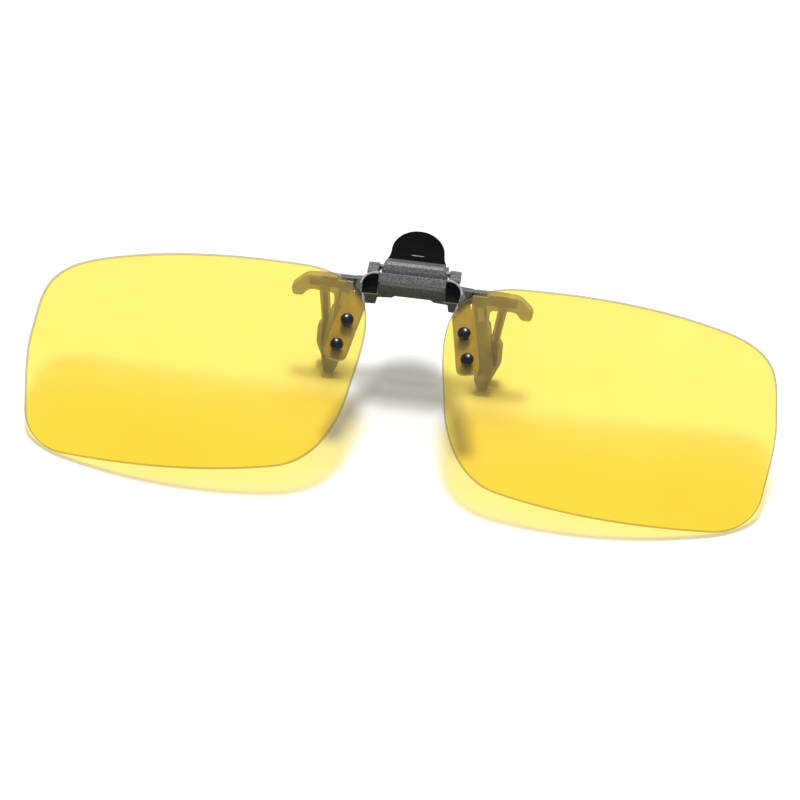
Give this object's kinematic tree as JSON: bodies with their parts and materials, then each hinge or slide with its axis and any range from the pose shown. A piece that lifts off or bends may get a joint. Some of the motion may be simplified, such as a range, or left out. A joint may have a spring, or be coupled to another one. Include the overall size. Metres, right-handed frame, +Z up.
{
  "type": "clip-on flip-up sunglasses",
  "caption": "Clip-on flip-up tinted lens pair for spectacles: rimless lenses riveted to a bridge, hinged to a spring clamp with a thumb tab and soft-sleeved claws.",
  "frame": {"origin": "on the table, below the middle of the object's bounding box", "axes": "+X across the pair of lenses, +Y from the lenses' lower edges towards the bridge and thumb tab, +Z up off the table"},
  "size_m": [0.1372, 0.0474, 0.0243],
  "materials": {
    "lens": "polished, clear yellow tint",
    "strap": "smoky translucent, smooth",
    "rivet": "polished black dome",
    "steel": "drawn wire and pressed sheet",
    "black_moulding": "fine-grained black",
    "gloss_black": "smooth satin black",
    "claw": "dark pressed sheet",
    "sleeve": "soft smoky translucent"
  },
  "bodies": {
    "lens_frame": {"bridge": "black_moulding", "flip_pin": "steel", "lens_left": "lens", "lens_right": "lens", "lens_plate_left": "strap", "lens_plate_right": "strap", "rivet_left_upper": "rivet", "rivet_left_lower": "rivet", "rivet_right_upper": "rivet", "rivet_right_lower": "rivet", "washer_left_upper": "steel", "washer_left_lower": "steel", "washer_right_upper": "steel", "washer_right_lower": "steel"},
    "clamp": {"clamp_body": "black_moulding", "detent_spring": "steel", "jaw_pin": "steel", "jaw_spring": "steel", "front_claw_left": "claw", "front_claw_right": "claw", "front_sleeve_left": "sleeve", "front_sleeve_right": "sleeve"},
    "jaw": {"thumb_lever": "gloss_black", "rear_claw_left": "claw", "rear_claw_right": "claw", "rear_sleeve_left": "sleeve", "rear_sleeve_right": "sleeve"}
  },
  "joints": [
    {"name": "flip_hinge", "type": "hinge", "parent": "lens_frame", "child": "clamp", "pos_m": [0, 0.01591, 0.02084], "axis": [1, 0, 0], "range_deg": [-39, 56]},
    {"name": "jaw_hinge", "type": "hinge", "parent": "clamp", "child": "jaw", "pos_m": [0, 0.01868, 0.01838], "axis": [1, 0, 0], "range_deg": [0, 16], "stiffness_Nm_per_rad": 0.05, "springref_deg": -28.65}
  ]
}
